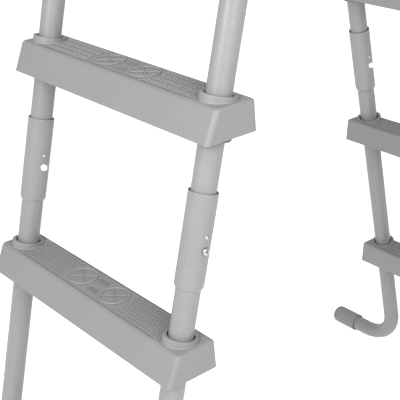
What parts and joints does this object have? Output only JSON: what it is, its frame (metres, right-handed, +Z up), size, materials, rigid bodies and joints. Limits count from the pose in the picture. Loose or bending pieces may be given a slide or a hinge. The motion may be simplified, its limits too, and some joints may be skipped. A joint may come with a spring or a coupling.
{
  "type": "pool ladder",
  "caption": "Freestanding A-frame ladder for an above-ground pool: leaning tubular sides with hollow moulded steps, joined over the wall by U-shaped top rails.",
  "frame": {"origin": "on the floor, under the middle of the ladder", "axes": "+Z up, X along the steps, -Y towards the near side and +Y towards the far side"},
  "size_m": [0.714, 1.0816, 1.7377],
  "materials": {
    "painted_steel": "grey powder coat with a fine metallic sparkle",
    "step_plastic": "moulded grey plastic, satin, with a raised tread",
    "cap_rubber": "matt grey",
    "zinc_steel": "bright zinc",
    "white_nylon": "white nylon, satin"
  },
  "bodies": {
    "root": {"near_left_lower_leg": "painted_steel", "near_left_middle_leg": "painted_steel", "near_left_foot_cap": "cap_rubber", "near_left_lower_sleeve": "painted_steel", "near_left_lower_bolt": "zinc_steel", "near_left_lower_cap_nut": "white_nylon", "near_left_lower_rivet": "zinc_steel", "near_left_upper_sleeve": "painted_steel", "near_left_upper_bolt": "zinc_steel", "near_left_upper_cap_nut": "white_nylon", "near_left_upper_rivet": "zinc_steel", "near_right_lower_leg": "painted_steel", "near_right_middle_leg": "painted_steel", "near_right_foot_cap": "cap_rubber", "near_right_lower_sleeve": "painted_steel", "near_right_lower_bolt": "zinc_steel", "near_right_lower_cap_nut": "white_nylon", "near_right_lower_rivet": "zinc_steel", "near_right_upper_sleeve": "painted_steel", "near_right_upper_bolt": "zinc_steel", "near_right_upper_cap_nut": "white_nylon", "near_right_upper_rivet": "zinc_steel", "near_step_1": "step_plastic", "near_step_2": "step_plastic", "near_step_3": "step_plastic", "near_step_4": "step_plastic", "far_left_lower_leg": "painted_steel", "far_left_middle_leg": "painted_steel", "far_left_foot_cap": "cap_rubber", "far_left_lower_sleeve": "painted_steel", "far_left_lower_bolt": "zinc_steel", "far_left_lower_cap_nut": "white_nylon", "far_left_lower_rivet": "zinc_steel", "far_left_upper_sleeve": "painted_steel", "far_left_upper_bolt": "zinc_steel", "far_left_upper_cap_nut": "white_nylon", "far_left_upper_rivet": "zinc_steel", "far_right_lower_leg": "painted_steel", "far_right_middle_leg": "painted_steel", "far_right_foot_cap": "cap_rubber", "far_right_lower_sleeve": "painted_steel", "far_right_lower_bolt": "zinc_steel", "far_right_lower_cap_nut": "white_nylon", "far_right_lower_rivet": "zinc_steel", "far_right_upper_sleeve": "painted_steel", "far_right_upper_bolt": "zinc_steel", "far_right_upper_cap_nut": "white_nylon", "far_right_upper_rivet": "zinc_steel", "far_step_1": "step_plastic", "far_step_2": "step_plastic", "far_step_3": "step_plastic", "far_step_4": "step_plastic", "left_top_rail": "painted_steel", "right_top_rail": "painted_steel"}
  },
  "joints": []
}
